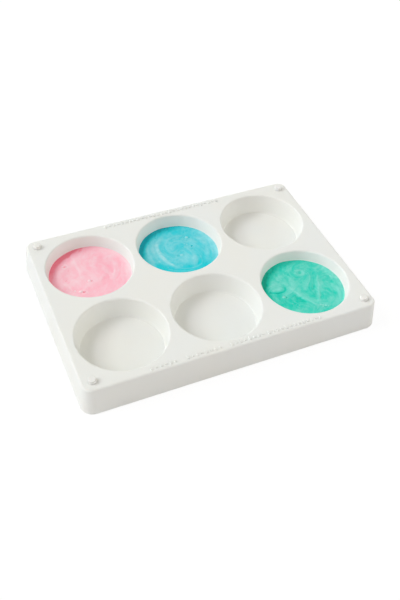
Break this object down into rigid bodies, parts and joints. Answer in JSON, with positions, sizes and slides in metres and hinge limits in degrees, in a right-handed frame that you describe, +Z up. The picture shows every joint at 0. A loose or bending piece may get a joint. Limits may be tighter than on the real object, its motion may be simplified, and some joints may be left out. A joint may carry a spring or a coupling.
{
  "type": "mixing palette",
  "caption": "Flat white moulded palette with round wells in two rows for paint, flared sides, raised corner stacking pegs, and pools of coloured paint in some wells.",
  "frame": {"origin": "centre of the base rim, on the plane the palette rests on", "axes": "+X along the long side, +Y towards the back long side, +Z up out of the wells"},
  "size_m": [0.2074, 0.1438, 0.023],
  "materials": {
    "tray_plastic": "smooth injection-moulded white plastic, satin",
    "peg_plastic": "smooth moulded white plastic, satin",
    "paint_pink": "wet paint, swirled, glossy",
    "paint_blue": "wet paint, swirled, glossy",
    "paint_green": "wet paint, swirled, glossy"
  },
  "bodies": {
    "root": {"palette_tray": "tray_plastic", "stacking_peg_back_left": "peg_plastic", "stacking_peg_back_right": "peg_plastic", "stacking_peg_front_left": "peg_plastic", "stacking_peg_front_right": "peg_plastic", "paint_pool_pink": "paint_pink", "paint_pool_blue": "paint_blue", "paint_pool_green": "paint_green"}
  },
  "joints": []
}
